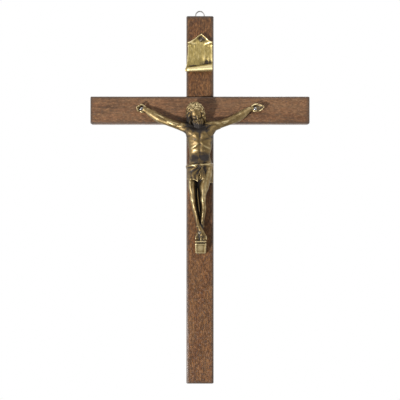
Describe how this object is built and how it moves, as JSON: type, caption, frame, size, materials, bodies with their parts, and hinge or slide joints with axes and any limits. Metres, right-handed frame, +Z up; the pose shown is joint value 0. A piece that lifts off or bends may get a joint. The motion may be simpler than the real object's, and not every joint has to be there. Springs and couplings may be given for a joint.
{
  "type": "wooden wall cross",
  "caption": "Wooden wall cross of half-lapped beams with a cast brass-toned figure on a footrest, a bare cast scroll above it and a small swinging ring hanger behind the top.",
  "frame": {"origin": "on the back face that lies against the wall, at the middle of the crossing of the beams", "axes": "+Z up along the upright, +Y into the wall, +X to the viewer's right along the crossbeam; the front faces -Y"},
  "size_m": [0.161, 0.0248, 0.2761],
  "materials": {
    "upright_wood": "brown stained, satin",
    "crossbeam_wood": "brown stained, satin, a little lighter",
    "antique_brass": "cast, antiqued dark in the hollows",
    "scroll_brass": "cast, warm and softly polished",
    "bright_steel": "bright zinc plated"
  },
  "bodies": {
    "cross": {"upright": "upright_wood", "crossbeam": "crossbeam_wood", "corpus": "antique_brass", "title_scroll": "scroll_brass", "palm_nail_left": "bright_steel", "palm_nail_right": "bright_steel", "foot_nail": "bright_steel", "scroll_nail": "bright_steel", "hanger_strap": "bright_steel", "hanger_nail": "bright_steel"},
    "ring": {"hanger_ring": "bright_steel"}
  },
  "joints": [
    {"name": "ring_swing", "type": "hinge", "parent": "cross", "child": "ring", "pos_m": [0, -0.00141, 0.0682], "axis": [-1, 0, 0], "range_deg": [-35, 185]}
  ]
}
